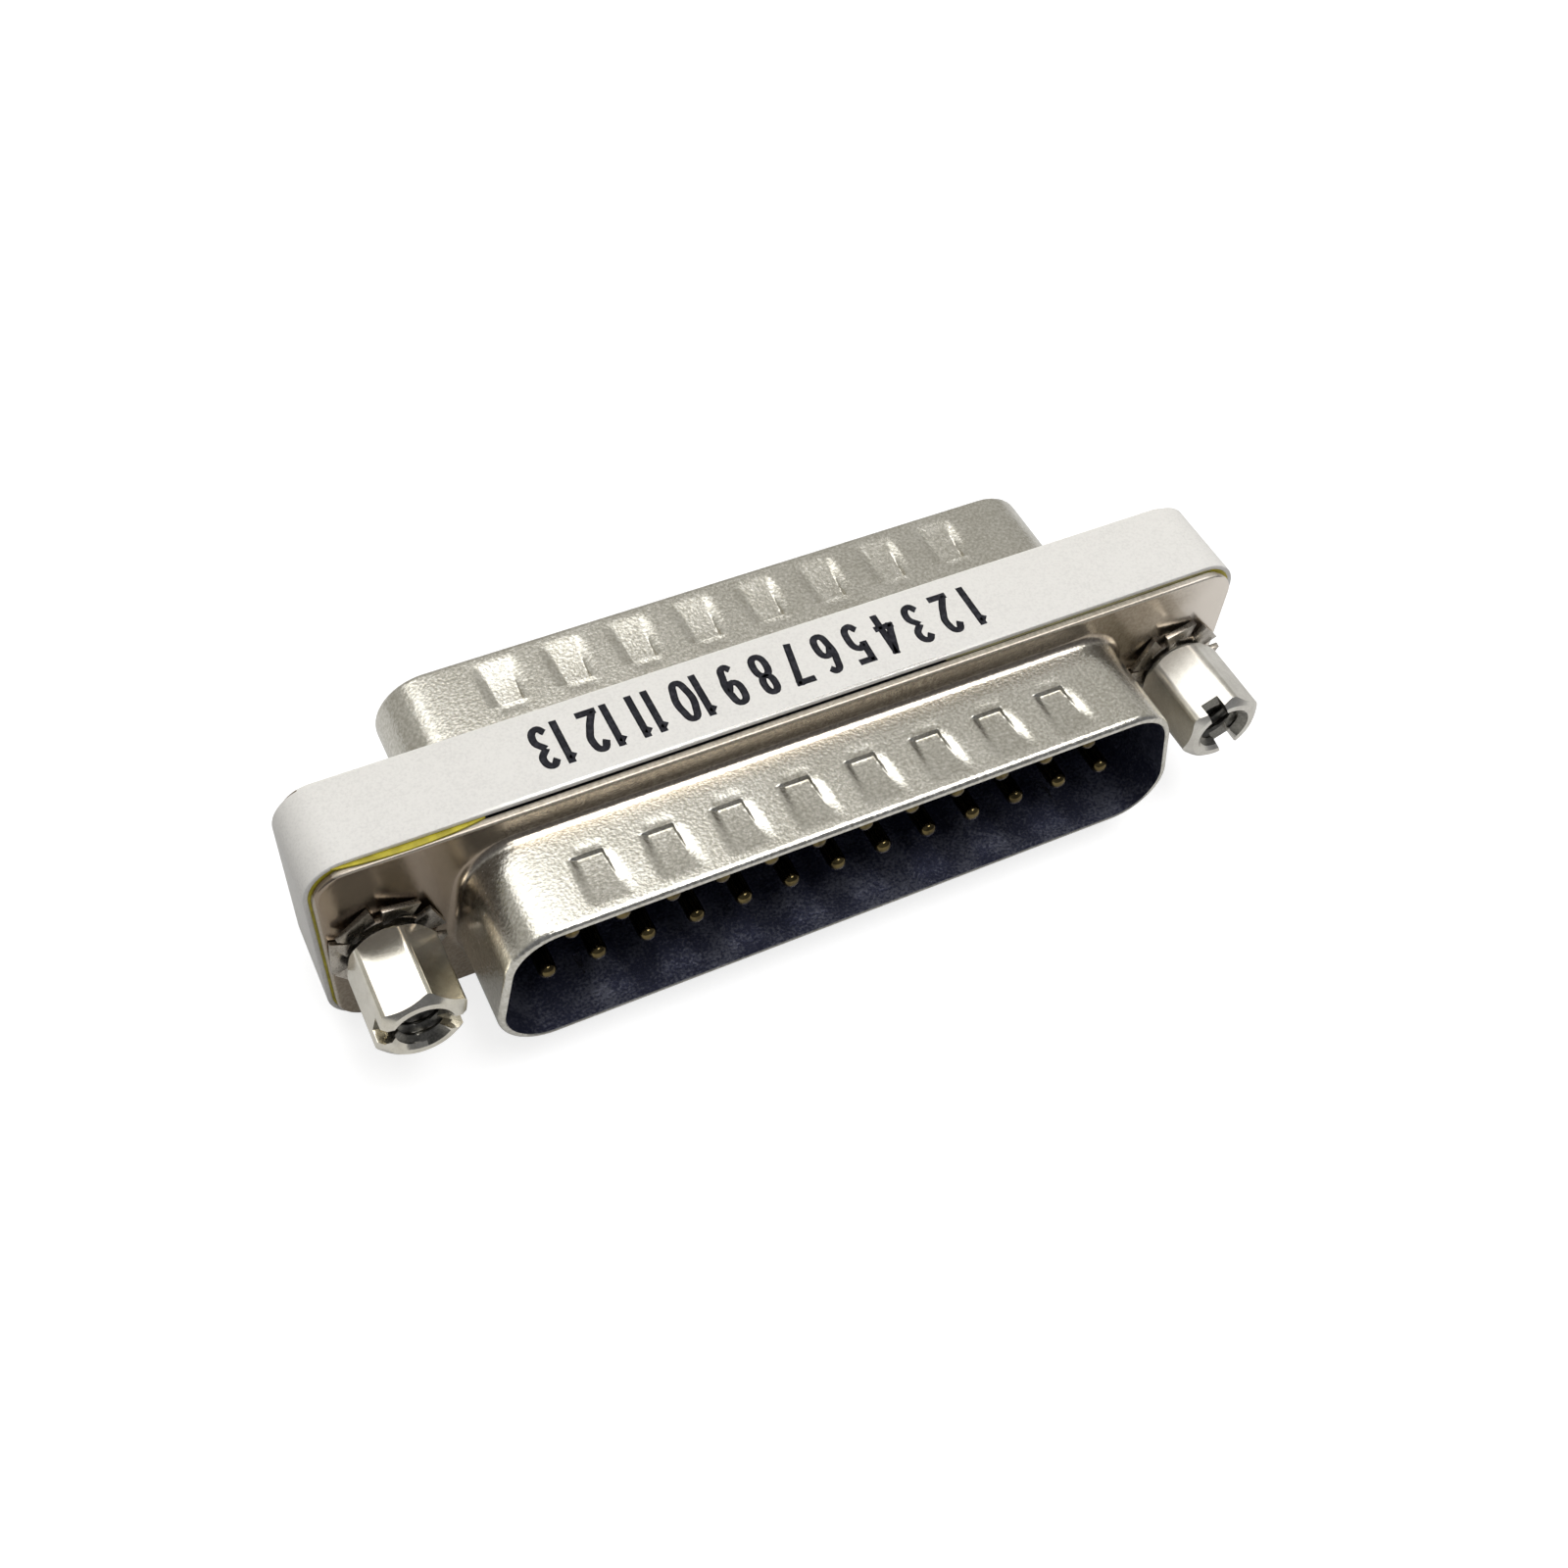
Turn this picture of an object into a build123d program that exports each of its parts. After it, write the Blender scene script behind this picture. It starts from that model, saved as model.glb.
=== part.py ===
"""Slim gender changer with a 25-way plug on each side, in millimetres.

Two drawn plug shells stand back to back on a flat band. The front plug has its narrow side up and
the rear plug is turned over, so each contact crosses from one row to the other inside the band.
X runs along the length, -Y is the front, +Z is up. The origin is under the middle of the band.
"""
from build123d import *
from math import cos, radians, tan
import os

# Contacts
pitch = 2.76
row_gap = 2.84
long_row = 13
short_row = long_row - 1
pin_d = 1.0
pin_reach = 4.6
pin_tip_r = 0.42
neck_d = 0.6
neck_bend_r = 0.36
pin_clearance = 0.02

# Plug shells, drawn from one sheet
sheet = 0.4
end_margin = 2.92
side_margin = 2.76
wall_slant = 10.0
corner_r = 2.6
shell_reach = 6.1
root_r = 0.55
lip_out_r = 0.25
lip_in = 0.1

# Dimples pressed into both long sides of each shell
dimple_count = 8
dimple_pitch = 3.8
dimple_w = 1.3
dimple_from = 2.4
dimple_len = 3.0
dimple_depth = 0.3
dimple_wall = 35.0

# Flanges and the space between them
body_depth = 5.9
flange_over = 1.7
flange_corner_r = 1.9
flange_edge_r = 0.12
shell_to_screw = 3.64
screw_to_end = 3.03

# Insulators
insulator_clearance = 0.05
insulator_rise = 0.3
plate_t = 1.5
plate_over = 0.8
plate_corner_r = 0.8
foot_w = 1.6

# Band and its lining
band_sheet = 0.25
lining_sheet = 0.25
band_stand = 0.15
band_clearance = 0.05
lining_clearance = 0.02
lining_tab = 5.2
lining_step = 0.7

# Screw hardware
thread_d = 2.84
thread_clearance = 0.02
flange_hole_clearance = 0.13
hex_af = 4.4
hex_len = 5.1
hex_edge_r = 0.22
hex_bevel = 0.5
hex_end_inset = 0.25
thread_depth = 4.0
mouth_bevel = 0.2
slot_w = 1.05
slot_depth = 0.95
slot_turn_left = -14.0
slot_turn_right = -65.5
washer_space = 0.7
washer_t = 0.3
washer_clearance = 0.105
washer_rim = 0.625
washer_d = 5.9
washer_teeth = 7
tooth_root_w = 1.5
tooth_tip_w = 2.1
tooth_twist = 9.0
washer_turn_left = 70.0
washer_turn_right = 50.0
nut_af = 4.75
nut_t = 1.6
nut_bevel = 0.35
nut_turn_left = 8.0
nut_turn_right = 21.0
stud_past_nut = 0.5
spacer_clearance = 0.08
spacer_wall = 0.8

# Places that follow from the sizes above
half_depth = body_depth / 2
inner_face = half_depth - sheet
row_len = (long_row - 1) * pitch
shell_inner_w = row_len + 2 * end_margin
shell_inner_h = row_gap + 2 * side_margin
shell_w = shell_inner_w + 2 * sheet
shell_h = shell_inner_h + 2 * sheet
screw_x = shell_w / 2 + shell_to_screw
flange_w = 2 * (screw_x + screw_to_end)
flange_h = shell_h + 2 * flange_over
band_inner_w = flange_w + 2 * band_stand
band_inner_h = flange_h + 2 * band_stand
band_w = band_inner_w + 2 * band_sheet
band_h = band_inner_h + 2 * band_sheet
band_len = 2 * (inner_face - band_clearance)
lining_r = flange_corner_r + band_stand
band_r = lining_r + band_sheet
axis_z = band_h / 2
lining_w = band_inner_w - 2 * lining_clearance
lining_h = band_inner_h - 2 * lining_clearance
lining_out_r = lining_r - lining_clearance
plate_w = shell_inner_w + 2 * plate_over
plate_h = shell_inner_h + 2 * plate_over
plate_face = inner_face - plate_t
foot_x = (plate_w - foot_w) / 2
crossing = plate_face
screw_hole_d = thread_d + 2 * flange_hole_clearance
hex_end_d = hex_af - 2 * hex_end_inset
washer_hole_d = thread_d + 2 * washer_clearance
washer_root_d = washer_hole_d + 2 * washer_rim
spacer_hole_d = thread_d + 2 * spacer_clearance
spacer_d = spacer_hole_d + 2 * spacer_wall
level_tolerance = 0.001

# Both plugs are drawn on the same plane: local X is +X and local Z points out of the plug.
# The rear plane is the front one turned half a turn about the X direction.
front = Plane(origin=(0, 0, axis_z), x_dir=(1, 0, 0), z_dir=(0, -1, 0))
rear = Plane(origin=(0, 0, axis_z), x_dir=(1, 0, 0), z_dir=(0, 1, 0))

long_places = [((i - (long_row - 1) / 2) * pitch, -row_gap / 2) for i in range(long_row)]
short_places = [((i - (short_row - 1) / 2) * pitch, row_gap / 2) for i in range(short_row)]
screw_places = [(-screw_x, 0), (screw_x, 0)]
dimple_places = [(i - (dimple_count - 1) / 2) * dimple_pitch for i in range(dimple_count)]

os.makedirs("parts", exist_ok=True)


def keep(builder, name):
    """Labels a finished piece and writes its file."""
    builder.part.label = name
    export_step(builder.part, f"parts/{name}.step")


def level(edges, plane, depth):
    """Edges that lie flat at this depth from the plane."""
    flat = []
    for edge in edges:
        depths = [plane.to_local_coords(vertex.center()).Z for vertex in edge.vertices()]
        if all(abs(value - depth) < level_tolerance for value in depths):
            flat.append(edge)
    return flat


def d_face(plane, offset, growth):
    """D outline of a shell's inside, grown by growth, with its wide side down on the plane."""
    slant = radians(wall_slant)
    side_r = corner_r + growth
    corner_past_arc = side_r * (tan(slant) + 1 / cos(slant) - 1)
    base = shell_inner_w + 2 * growth + 2 * corner_past_arc
    with BuildSketch(plane.offset(offset)) as face:
        Trapezoid(base, shell_inner_h + 2 * growth, 90 - wall_slant)
        fillet(face.vertices(), side_r)
    return face.sketch


def dimple_bump(plane, side, x):
    """Swelling inside the wall that keeps sheet behind a dimple."""
    surface = side * shell_h / 2
    start = plane.from_local_coords((x, surface, half_depth + dimple_from))
    inward = plane.y_dir * -side
    with BuildSketch(Plane(start, x_dir=plane.z_dir, z_dir=plane.z_dir.cross(inward))) as wedge:
        Polygon(
            (0, sheet / 2),
            (0, sheet + dimple_depth),
            (dimple_len, sheet / 2),
            align=None,
        )
    extrude(wedge.sketch, amount=dimple_w / 2 + sheet, both=True)


def dimple_cut(plane, side, x):
    """Ramp pressed in from outside, deep at the flange end and level at the rim end."""
    surface = side * shell_h / 2
    start = half_depth + dimple_from
    deep = plane.from_local_coords((x, surface - side * dimple_depth, start))
    shallow = plane.from_local_coords((x, surface, start + dimple_len))
    floor_x = plane.x_dir * side
    floor_out = floor_x.cross(shallow - deep) * -1
    floor = Plane((deep + shallow) * 0.5, x_dir=floor_x, z_dir=floor_out)
    with BuildSketch(floor) as ramp:
        Rectangle(dimple_w, (shallow - deep).length)
    extrude(ramp.sketch, amount=2 * dimple_depth, taper=-dimple_wall, mode=Mode.SUBTRACT)


def plug_shell(plane, wall_name, flange_name):
    """One drawn shell, kept as its flange with the rounded root and its D-shaped wall."""
    rim = half_depth + shell_reach
    with BuildPart() as shell:
        with BuildSketch(plane.offset(inner_face)):
            RectangleRounded(flange_w, flange_h, flange_corner_r)
        extrude(amount=sheet)
        fillet(level(shell.edges(), plane, half_depth), flange_edge_r)
        extrude(d_face(plane, inner_face, sheet), amount=rim - inner_face)
        fillet(level(shell.edges(Select.LAST), plane, half_depth), root_r)
        fillet(level(shell.edges(), plane, rim), lip_out_r)
        extrude(d_face(plane, inner_face, 0), amount=rim - inner_face, mode=Mode.SUBTRACT)
        fillet(level(shell.edges(Select.LAST), plane, inner_face), root_r + sheet / 2)
        extrude(d_face(plane, rim - lip_in, 0), amount=lip_in, taper=-45, mode=Mode.SUBTRACT)
        for side in (-1, 1):
            for x in dimple_places:
                dimple_bump(plane, side, x)
            for x in dimple_places:
                dimple_cut(plane, side, x)
        with BuildSketch(plane.offset(inner_face)):
            with Locations(*screw_places):
                Circle(screw_hole_d / 2)
        extrude(amount=sheet, mode=Mode.SUBTRACT)
    root_top = plane.offset(half_depth + root_r)
    for side, name in ((Keep.TOP, wall_name), (Keep.BOTTOM, flange_name)):
        with BuildPart() as piece:
            add(shell.part)
            split(bisect_by=root_top, keep=side)
        keep(piece, name)


def insulator(plane, name):
    """Moulded block that fills the shell's root, with a plate behind the flange and two feet."""
    with BuildPart() as block:
        with BuildSketch(plane.offset(plate_face)):
            RectangleRounded(plate_w, plate_h, plate_corner_r)
        extrude(amount=plate_t)
        nose = half_depth + insulator_rise - plate_face
        extrude(d_face(plane, plate_face, -insulator_clearance), amount=nose)
        with BuildSketch(plane):
            with Locations((-foot_x, 0), (foot_x, 0)):
                Rectangle(foot_w, plate_h - 2 * plate_corner_r)
        extrude(amount=plate_face)
        with BuildSketch(plane.offset(plate_face)):
            with Locations(*(long_places + short_places)):
                Circle(pin_d / 2 + pin_clearance)
        extrude(amount=nose, mode=Mode.SUBTRACT)
    keep(block, name)


def contact(place, name):
    """Two round pins joined by a thin neck that crosses from one row to the other."""
    x, row = place
    low, high = axis_z + row, axis_z - row
    with BuildPart() as pin:
        with BuildLine():
            FilletPolyline(
                (x, -crossing, low),
                (x, neck_bend_r - crossing, low),
                (x, crossing - neck_bend_r, high),
                (x, crossing, high),
                radius=neck_bend_r,
            )
        with BuildSketch(Plane((x, -crossing, low), x_dir=(1, 0, 0), z_dir=(0, 1, 0))):
            Circle(neck_d / 2)
        sweep()
        for plane in (front, rear):
            with BuildSketch(plane.offset(crossing)):
                with Locations(place):
                    Circle(pin_d / 2)
            extrude(amount=half_depth + pin_reach - crossing)
            fillet(level(pin.edges(), plane, half_depth + pin_reach), pin_tip_r)
    keep(pin, name)


def hex_body(plane, x, start, length, flats, turn, bevel, end_d):
    """Hexagon with turned-down ends, standing on the plane at x."""
    corner = flats / 2 / cos(radians(30))
    centre = plane.from_local_coords((x, 0, start))
    with BuildSketch(plane.offset(start)) as hexagon:
        with Locations((x, 0)):
            RegularPolygon(flats / 2, 6, major_radius=False, rotation=turn)
        fillet(hexagon.vertices(), hex_edge_r)
    extrude(hexagon.sketch, amount=length)
    side_view = Plane(centre, x_dir=plane.x_dir, z_dir=plane.x_dir.cross(plane.z_dir))
    with BuildSketch(side_view) as profile:
        Polygon(
            (0, 0),
            (end_d / 2, 0),
            (corner, bevel),
            (corner, length - bevel),
            (end_d / 2, length),
            (0, length),
            align=None,
        )
    revolve(profile.sketch, axis=Axis(centre, plane.z_dir), mode=Mode.INTERSECT)


def jackscrew(x, slot_turn, name):
    """Hexagon standoff with a slotted, threaded end and a stud that runs through both flanges."""
    seat = half_depth + washer_space
    end = seat + hex_len
    stud_end = half_depth + nut_t + stud_past_nut
    with BuildPart() as screw:
        hex_body(front, x, seat, hex_len, hex_af, slot_turn + 30, hex_bevel, hex_end_d)
        with BuildSketch(front.offset(end - thread_depth)):
            with Locations((x, 0)):
                Circle(thread_d / 2)
        extrude(amount=thread_depth, mode=Mode.SUBTRACT)
        chamfer(level(screw.edges(Select.LAST), front, end), mouth_bevel)
        with BuildSketch(front.offset(end - slot_depth)):
            with Locations((x, 0)):
                Rectangle(2 * hex_af, slot_w, rotation=slot_turn)
        extrude(amount=slot_depth, mode=Mode.SUBTRACT)
        with BuildSketch(front.offset(-stud_end)):
            with Locations((x, 0)):
                Circle(thread_d / 2 - thread_clearance)
        extrude(amount=stud_end + seat)
        chamfer(level(screw.edges(), front, -stud_end), mouth_bevel)
    keep(screw, name)


def lock_washer(x, first_tooth, name):
    """Ring with broad twisted teeth, held between the flange and the jackscrew."""
    centre = front.from_local_coords((x, 0, half_depth + washer_space / 2))
    middle = Plane(centre, x_dir=front.x_dir, z_dir=front.z_dir)
    with BuildPart() as washer:
        with BuildSketch(middle):
            Circle(washer_root_d / 2)
        extrude(amount=washer_t / 2, both=True)
        for tooth in range(washer_teeth):
            turn = first_tooth + tooth * 360 / washer_teeth
            outward = middle.x_dir.rotate(Axis(centre, middle.z_dir), turn)
            twisted = middle.z_dir.rotate(Axis(centre, outward), tooth_twist)
            with BuildSketch(Plane(centre, x_dir=outward, z_dir=twisted)):
                Polygon(
                    (washer_hole_d / 2, -tooth_root_w / 2),
                    (washer_d / 2, -tooth_tip_w / 2),
                    (washer_d / 2, tooth_tip_w / 2),
                    (washer_hole_d / 2, tooth_root_w / 2),
                    align=None,
                )
            extrude(amount=washer_t / 2, both=True)
        with BuildSketch(middle):
            Circle(washer_hole_d / 2)
        extrude(amount=washer_space, both=True, mode=Mode.SUBTRACT)
    keep(washer, name)


def spacer(x, name):
    """Tube round the stud that holds the two flanges apart."""
    with BuildPart() as tube:
        with BuildSketch(front.offset(-inner_face)):
            with Locations((x, 0)):
                Circle(spacer_d / 2)
                Circle(spacer_hole_d / 2, mode=Mode.SUBTRACT)
        extrude(amount=2 * inner_face)
    keep(tube, name)


def rear_nut(x, turn, name):
    """Thin hexagon nut on the stud, against the rear flange."""
    with BuildPart() as nut:
        hex_body(rear, x, half_depth, nut_t, nut_af, turn, nut_bevel, nut_af)
        with BuildSketch(rear.offset(half_depth)):
            with Locations((x, 0)):
                Circle(thread_d / 2)
        extrude(amount=nut_t, mode=Mode.SUBTRACT)
    keep(nut, name)


plug_shell(front, "front_shell", "front_flange")
plug_shell(rear, "rear_shell", "rear_flange")
insulator(front, "front_insulator")
insulator(rear, "rear_insulator")

# Contacts are counted from the right as the front plug is seen, first along its long row.
for number, place in enumerate(long_places[::-1] + short_places[::-1], start=1):
    contact(place, f"contact_{number:02d}")

with BuildPart() as band:
    with BuildSketch(front.offset(-band_len / 2)):
        RectangleRounded(band_w, band_h, band_r)
        RectangleRounded(band_inner_w, band_inner_h, lining_r, mode=Mode.SUBTRACT)
    extrude(amount=band_len)
keep(band, "outer_band")

# The lining reaches the band's edges only near its ends.
with BuildPart() as lining:
    with BuildSketch(front.offset(-band_len / 2)):
        RectangleRounded(lining_w, lining_h, lining_out_r)
        inside_w, inside_h = lining_w - 2 * lining_sheet, lining_h - 2 * lining_sheet
        RectangleRounded(inside_w, inside_h, lining_out_r - lining_sheet, mode=Mode.SUBTRACT)
    extrude(amount=band_len)
    for edge_plane in (front, rear):
        with BuildSketch(edge_plane.offset(band_len / 2 - lining_step)):
            Rectangle(lining_w - 2 * lining_tab, band_h)
        extrude(amount=lining_step, mode=Mode.SUBTRACT)
keep(lining, "band_lining")

jackscrew(-screw_x, slot_turn_left, "jackscrew_left")
jackscrew(screw_x, slot_turn_right, "jackscrew_right")
lock_washer(-screw_x, washer_turn_left, "lock_washer_left")
lock_washer(screw_x, washer_turn_right, "lock_washer_right")
spacer(-screw_x, "spacer_left")
spacer(screw_x, "spacer_right")
rear_nut(-screw_x, nut_turn_left, "rear_nut_left")
rear_nut(screw_x, nut_turn_right, "rear_nut_right")
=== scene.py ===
"""Looks of a slim 25-way gender changer: drawn shells, white band, jackscrews and their finishes.

Pieces are modelled in millimetres, with one unit to the millimetre, and are brought to metres when
they are finished. Depth is counted from the middle of the band out of either plug.
"""

import logging
from dataclasses import dataclass, field
from enum import Enum
from math import ceil, copysign, cos, exp, hypot, pi, radians, sin, tan
from typing import Any, Callable, Mapping, Optional, Sequence, Union

import bmesh
import bpy
from mathutils import Euler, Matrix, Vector


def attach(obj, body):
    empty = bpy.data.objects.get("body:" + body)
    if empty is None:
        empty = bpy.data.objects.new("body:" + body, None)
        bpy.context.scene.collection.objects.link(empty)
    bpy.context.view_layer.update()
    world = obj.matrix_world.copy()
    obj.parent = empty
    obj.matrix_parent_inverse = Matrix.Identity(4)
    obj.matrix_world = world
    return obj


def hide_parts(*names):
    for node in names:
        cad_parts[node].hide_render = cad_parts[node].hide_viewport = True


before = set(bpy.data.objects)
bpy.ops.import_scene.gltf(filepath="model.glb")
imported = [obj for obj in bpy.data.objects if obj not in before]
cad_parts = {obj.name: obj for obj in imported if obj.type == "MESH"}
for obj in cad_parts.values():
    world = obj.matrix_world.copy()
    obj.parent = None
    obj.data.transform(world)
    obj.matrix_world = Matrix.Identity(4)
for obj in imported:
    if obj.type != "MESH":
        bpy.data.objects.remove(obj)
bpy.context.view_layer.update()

MM = 0.001
AXIS_Z = 6.68
FLANGE_W = 53.1
FLANGE_H = 12.56
STATION = "station"
BODY = "root"
Piece = bpy.types.Object
Number = Union[float, "Wire"]
Triple = tuple[float, float, float]
Colour = Triple
Span = tuple[float, float]
Ring = list[Vector]
Station = tuple[float, float, bool]

logging.basicConfig(level=logging.INFO, format="%(message)s")
log = logging.getLogger("changer")


class Facing(Enum):
    """Which way a plug points along Y."""

    FRONT = -1
    REAR = 1


class Cut(Enum):
    """What a tool body does to the piece that it meets."""

    AWAY = "DIFFERENCE"
    KEEP = "INTERSECT"
    JOIN = "UNION"


class Dent(Enum):
    """Which side of the sheet a row of points lies on where dimples are pressed."""

    NONE = 0
    OUTSIDE = 1
    INSIDE = 2


# Modelling


def deselect() -> None:
    """Leaves object mode with nothing selected."""
    if bpy.context.object and bpy.context.object.mode != "OBJECT":
        bpy.ops.object.mode_set(mode="OBJECT")
    bpy.ops.object.select_all(action="DESELECT")


def activate(obj: Piece) -> None:
    """Selects one object and makes it the active one.

    Args:
        obj: the object that the next operators work on.
    """
    deselect()
    obj.select_set(True)
    bpy.context.view_layer.objects.active = obj


def apply_place(obj: Piece) -> None:
    """Moves an object's place, turn and scale into its mesh."""
    activate(obj)
    bpy.ops.object.transform_apply(location=True, rotation=True, scale=True)


def apply_modifier(obj: Piece, kind: str, settings: Mapping[str, Any]) -> None:
    """Adds a modifier and applies it at once.

    Args:
        obj: the piece that it works on.
        kind: the modifier's type.
        settings: values for its properties.
    """
    activate(obj)
    modifier = obj.modifiers.new(kind.lower(), kind)
    for key, value in settings.items():
        setattr(modifier, key, value)
    bpy.ops.object.modifier_apply(modifier=modifier.name)


def soften(obj: Piece, width: float, segments: int, angle: float) -> None:
    """Rounds the edges that turn by more than an angle in degrees."""
    limit = {"limit_method": "ANGLE", "angle_limit": radians(angle)}
    apply_modifier(obj, "BEVEL", {"width": width, "segments": segments, **limit})


def combine(obj: Piece, tool: Piece, cut: Cut) -> None:
    """Cuts, keeps or joins with a tool body, which is used up."""
    apply_modifier(obj, "BOOLEAN", {"operation": cut.value, "object": tool, "solver": "EXACT"})
    bpy.data.objects.remove(tool)


def stand(obj: Piece, x: float, depth: float) -> None:
    """Points local Z out of the front, on a screw's line at a depth."""
    obj.rotation_euler = (radians(90), 0.0, 0.0)
    obj.location = (x, -depth, AXIS_Z)


def block(name: str, size: Triple, place: Triple) -> Piece:
    """Adds a block, with its size and place in its mesh.

    Args:
        name: name of the new object.
        size: its sides along X, Y and Z.
        place: its middle.

    Returns:
        The block.
    """
    deselect()
    bpy.ops.mesh.primitive_cube_add(size=1.0, location=place)
    obj = bpy.context.object
    obj.name = obj.data.name = name
    obj.scale = size
    apply_place(obj)
    return obj


def pick(test: Callable[[Any], bool], kind: str = "FACE") -> None:
    """Selects what passes a test in the mesh that is being edited.

    Args:
        test: what a face or edge has to pass.
        kind: FACE or EDGE.
    """
    bpy.ops.mesh.select_mode(type=kind)
    bpy.ops.mesh.select_all(action="DESELECT")
    mesh = bpy.context.object.data
    work = bmesh.from_edit_mesh(mesh)
    for item in work.faces if kind == "FACE" else work.edges:
        item.select_set(test(item))
    bmesh.update_edit_mesh(mesh)


def steps(start: float, end: float, count: int) -> list[float]:
    """Values from start to end in even steps, both included."""
    return [start + (end - start) * i / count for i in range(count + 1)]


def ease(value: float) -> float:
    """Smooth step between 0 and 1."""
    value = min(1.0, max(0.0, value))
    return value * value * (3.0 - 2.0 * value)


def corner(x: float, z: float, radius: float, turns: Sequence[float]) -> list[Station]:
    """Stations round one corner, at these angles in degrees."""
    return [(x + radius * cos(radians(t)), z + radius * sin(radians(t)), False) for t in turns]


def circle(radius: float, depth: float, count: int) -> Ring:
    """Points round a circle at a depth along local Z."""
    turns = [2 * pi * i / count for i in range(count)]
    return [Vector((radius * cos(t), radius * sin(t), depth)) for t in turns]


class RingLoft:
    """A skin that grows from one ring of points, one extrusion at a time."""

    def __init__(self, name: str, ring: Ring) -> None:
        """Starts the skin on a circle whose points are moved onto the ring.

        Args:
            name: name of the new object.
            ring: the first ring's points, in order.
        """
        deselect()
        bpy.ops.mesh.primitive_circle_add(vertices=len(ring), radius=1.0)
        self.obj: Piece = bpy.context.object
        self.obj.name = self.obj.data.name = name
        bpy.ops.object.mode_set(mode="EDIT")
        bpy.ops.mesh.select_mode(type="EDGE")
        bpy.ops.mesh.select_all(action="SELECT")
        work = bmesh.from_edit_mesh(self.obj.data)
        layer = work.verts.layers.int.new(STATION)
        for index, vertex in enumerate(work.verts):
            vertex[layer] = index
        self._place(ring)

    def _place(self, ring: Ring) -> None:
        """Moves the selected points onto a ring."""
        work = bmesh.from_edit_mesh(self.obj.data)
        layer = work.verts.layers.int[STATION]
        for vertex in work.verts:
            if vertex.select:
                vertex.co = ring[vertex[layer]]
        bmesh.update_edit_mesh(self.obj.data)

    def grow(self, rings: Sequence[Ring]) -> "RingLoft":
        """Extrudes the open edge onto each ring in turn.

        Args:
            rings: the next rings, each with as many points as the first.

        Returns:
            The loft itself.
        """
        for ring in rings:
            bpy.ops.mesh.extrude_region_move()
            self._place(ring)
        return self

    def close(self, merge: float = 0.0) -> Piece:
        """Closes the skin, over its open ends or onto its own first ring.

        Args:
            merge: distance at which the last ring melts into the first, or 0 to cap both ends.

        Returns:
            The finished object, in object mode.
        """
        bpy.ops.mesh.select_all(action="SELECT")
        if merge:
            bpy.ops.mesh.remove_doubles(threshold=merge)
        else:
            bpy.ops.mesh.select_all(action="DESELECT")
            bpy.ops.mesh.select_non_manifold(extend=False)
            bpy.ops.mesh.fill_holes(sides=0)
        bpy.ops.mesh.select_all(action="SELECT")
        bpy.ops.mesh.normals_make_consistent(inside=False)
        bpy.ops.object.mode_set(mode="OBJECT")
        return self.obj


def lofted(name: str, rings: Sequence[Ring], merge: float = 0.0) -> Piece:
    """Closed body through all these rings."""
    return RingLoft(name, rings[0]).grow(rings[1:]).close(merge)


def turned(name: str, profile: Sequence[Span], count: int = 96) -> Piece:
    """Closed body turned about local Z, from pairs of radius and depth."""
    return lofted(name, [circle(radius, depth, count) for radius, depth in profile])


@dataclass(frozen=True)
class Thread:
    """A screw thread as a wave that winds along a turned body."""

    crest_r: float = 1.42
    root_r: float = 1.13
    pitch: float = 0.635
    rows_per_pitch: int = 10
    count: int = 60
    flank: float = 2.6
    root_flat: float = 0.15

    def ring(self, depth: float, most: float) -> Ring:
        """One ring of the wound surface.

        Args:
            depth: its place along local Z.
            most: largest radius that is allowed here.

        Returns:
            The ring's points.
        """
        points = circle(1.0, depth, self.count)
        for index, point in enumerate(points):
            phase = (depth / self.pitch - index / self.count) % 1.0
            wave = min(1.0, max(0.0, self.flank * abs(phase - 0.5) - self.root_flat))
            radius = min(most, self.root_r + (self.crest_r - self.root_r) * wave)
            point.x *= radius
            point.y *= radius
        return points

    def body(self, name: str, start: float, end: float, tip: float = 0.0) -> Piece:
        """Closed threaded body between two depths.

        Args:
            name: name of the new object.
            start: where it begins.
            end: where it ends.
            tip: length over which its far end narrows by as much.

        Returns:
            The body.
        """
        depths = steps(start, end, ceil((end - start) / self.pitch * self.rows_per_pitch))
        limits = [self.crest_r - max(0.0, tip - (end - depth)) for depth in depths]
        return lofted(name, [self.ring(depth, most) for depth, most in zip(depths, limits)])


# Shader building


def grey(value: float) -> Colour:
    """Neutral colour of one value."""
    return (value, value, value)


class Wire:
    """An output socket that takes part in sums."""

    def __init__(self, recipe: "Recipe", socket: bpy.types.NodeSocket) -> None:
        """Holds a socket of a recipe."""
        self.recipe = recipe
        self.socket = socket

    def _sum(self, operation: str, *values: Number) -> "Wire":
        """Adds one Math node over these values."""
        return self.recipe.wire("ShaderNodeMath", {"operation": operation}, dict(enumerate(values)))

    def __add__(self, other: Number) -> "Wire":
        """Sum."""
        return self._sum("ADD", self, other)

    def __sub__(self, other: Number) -> "Wire":
        """Difference."""
        return self._sum("SUBTRACT", self, other)

    def __rsub__(self, other: Number) -> "Wire":
        """Difference from a number."""
        return self._sum("SUBTRACT", other, self)

    def __mul__(self, other: Number) -> "Wire":
        """Product."""
        return self._sum("MULTIPLY", self, other)

    __radd__ = __add__
    __rmul__ = __mul__

    def __abs__(self) -> "Wire":
        """Distance from zero."""
        return self._sum("ABSOLUTE", self)

    def at_least(self, other: Number) -> "Wire":
        """Larger of the two values."""
        return self._sum("MAXIMUM", self, other)

    def ramp(self, low: float, high: float) -> "Wire":
        """Smooth step from 0 at low to 1 at high."""
        values = {"Value": self, "From Min": low, "From Max": high}
        return self.recipe.wire("ShaderNodeMapRange", {"interpolation_type": "SMOOTHSTEP"}, values)


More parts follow.
